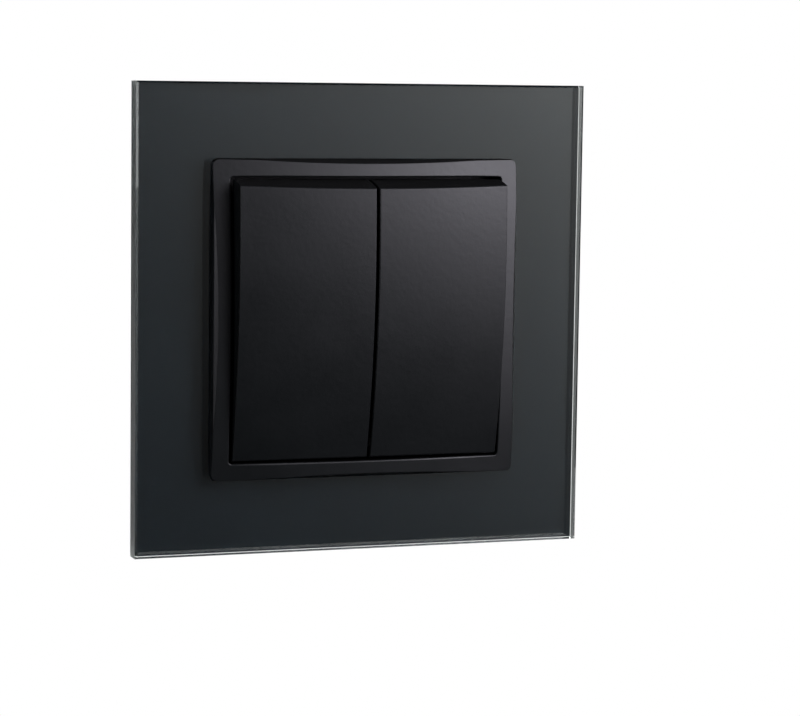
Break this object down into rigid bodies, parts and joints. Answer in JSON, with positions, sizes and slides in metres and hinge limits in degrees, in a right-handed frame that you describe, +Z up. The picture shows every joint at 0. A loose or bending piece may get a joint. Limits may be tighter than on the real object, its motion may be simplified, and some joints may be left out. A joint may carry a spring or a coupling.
{
  "type": "two-gang rocker light switch",
  "caption": "Flush two-gang rocker light switch: convex black rockers in a domed square bezel on a dark-backed glass plate, with support ring and wall box mechanism.",
  "frame": {"origin": "centre of the device on the wall plane, which is the back of the support ring", "axes": "+Z up, +X to the right seen from the room, +Y into the wall; the front faces -Y"},
  "size_m": [0.09, 0.0464, 0.09],
  "materials": {
    "clear_glass": "polished",
    "dark_film": "opaque backing",
    "foam": "matte foam",
    "carrier_plastic": "moulded",
    "black_plastic": "fine textured",
    "ring_steel": "zinc plated sheet",
    "steel": "zinc plated",
    "light_insulator": "moulded",
    "grey_insulator": "moulded",
    "brass_bar": "stamped",
    "contact_silver": "satin silver",
    "spring_steel": "spring steel",
    "cradle_plastic": "moulded",
    "plunger_plastic": "moulded",
    "release_plastic": "moulded"
  },
  "bodies": {
    "switch": {"glass_panel": "clear_glass", "backing_film": "dark_film", "foam_tape": "foam", "frame_carrier": "carrier_plastic", "bezel": "black_plastic", "support_ring": "ring_steel", "ring_rivets": "steel", "mechanism_cover": "grey_insulator", "mechanism_base": "light_insulator", "common_bar": "brass_bar", "left_output_bar": "brass_bar", "right_output_bar": "brass_bar", "fixed_tips": "contact_silver", "clamp_springs": "spring_steel"},
    "left_rocker_unit": {"left_rocker": "black_plastic", "left_cradle": "cradle_plastic", "left_plunger_spring": "spring_steel"},
    "left_plunger_pin": {"left_plunger": "plunger_plastic"},
    "left_contact_lever": {"left_lever": "brass_bar", "left_moving_tip": "contact_silver"},
    "left_claw_arm": {"left_claw": "steel"},
    "left_claw_driver": {"left_claw_screw": "steel"},
    "right_rocker_unit": {"right_rocker": "black_plastic", "right_cradle": "cradle_plastic", "right_plunger_spring": "spring_steel"},
    "right_plunger_pin": {"right_plunger": "plunger_plastic"},
    "right_contact_lever": {"right_lever": "brass_bar", "right_moving_tip": "contact_silver"},
    "right_claw_arm": {"right_claw": "steel"},
    "right_claw_driver": {"right_claw_screw": "steel"},
    "release_upper_left_slide": {"release_upper_left": "release_plastic"},
    "release_upper_right_slide": {"release_upper_right": "release_plastic"},
    "release_lower_left_slide": {"release_lower_left": "release_plastic"},
    "release_lower_right_slide": {"release_lower_right": "release_plastic"}
  },
  "joints": [
    {"name": "left_rocker_tilt", "type": "hinge", "parent": "switch", "child": "left_rocker_unit", "pos_m": [-0.0112, -0.0085, 0], "axis": [1, 0, 0], "range_deg": [-9.5, 0]},
    {"name": "left_lever_tilt", "type": "hinge", "parent": "switch", "child": "left_contact_lever", "pos_m": [-0.0112, 0.00475, 0], "axis": [1, 0, 0], "range_deg": [0, 11.4]},
    {"name": "left_plunger_push", "type": "slide", "parent": "left_rocker_unit", "child": "left_plunger_pin", "axis": [0, -0.9966, -0.0828], "range_m": [0, 0.001], "stiffness_N_per_m": 400, "springref_m": -0.0012, "deforming": ["left_plunger_spring"]},
    {"name": "left_claw_swing", "type": "hinge", "parent": "switch", "child": "left_claw_arm", "pos_m": [-0.0224, 0.0032, 0], "axis": [0, 0, 1], "range_deg": [0, 22]},
    {"name": "left_claw_screw_turn", "type": "hinge", "parent": "switch", "child": "left_claw_driver", "pos_m": [-0.025, 0, 0], "axis": [0, 1, 0], "range_deg": [0, 700]},
    {"name": "right_rocker_tilt", "type": "hinge", "parent": "switch", "child": "right_rocker_unit", "pos_m": [0.0112, -0.0085, 0], "axis": [1, 0, 0], "range_deg": [-9.5, 0]},
    {"name": "right_lever_tilt", "type": "hinge", "parent": "switch", "child": "right_contact_lever", "pos_m": [0.0112, 0.00475, 0], "axis": [1, 0, 0], "range_deg": [0, 11.4]},
    {"name": "right_plunger_push", "type": "slide", "parent": "right_rocker_unit", "child": "right_plunger_pin", "axis": [0, -0.9966, -0.0828], "range_m": [0, 0.001], "stiffness_N_per_m": 400, "springref_m": -0.0012, "deforming": ["right_plunger_spring"]},
    {"name": "right_claw_swing", "type": "hinge", "parent": "switch", "child": "right_claw_arm", "pos_m": [0.0224, 0.0032, 0], "axis": [0, 0, -1], "range_deg": [0, 22]},
    {"name": "right_claw_screw_turn", "type": "hinge", "parent": "switch", "child": "right_claw_driver", "pos_m": [0.025, 0, 0], "axis": [0, 1, 0], "range_deg": [0, 700]},
    {"name": "release_upper_left_push", "type": "slide", "parent": "switch", "child": "release_upper_left_slide", "axis": [0, -1, 0], "range_m": [0, 0.0012], "stiffness_N_per_m": 500, "springref_m": -0.001},
    {"name": "release_upper_right_push", "type": "slide", "parent": "switch", "child": "release_upper_right_slide", "axis": [0, -1, 0], "range_m": [0, 0.0012], "stiffness_N_per_m": 500, "springref_m": -0.001},
    {"name": "release_lower_left_push", "type": "slide", "parent": "switch", "child": "release_lower_left_slide", "axis": [0, -1, 0], "range_m": [0, 0.0012], "stiffness_N_per_m": 500, "springref_m": -0.001},
    {"name": "release_lower_right_push", "type": "slide", "parent": "switch", "child": "release_lower_right_slide", "axis": [0, -1, 0], "range_m": [0, 0.0012], "stiffness_N_per_m": 500, "springref_m": -0.001}
  ],
  "couplings": [
    {"joint": "left_lever_tilt", "follows": "left_rocker_tilt", "ratio": -1.2},
    {"joint": "left_claw_swing", "follows": "left_claw_screw_turn", "ratio": 0.031429},
    {"joint": "right_lever_tilt", "follows": "right_rocker_tilt", "ratio": -1.2},
    {"joint": "right_claw_swing", "follows": "right_claw_screw_turn", "ratio": 0.031429}
  ]
}
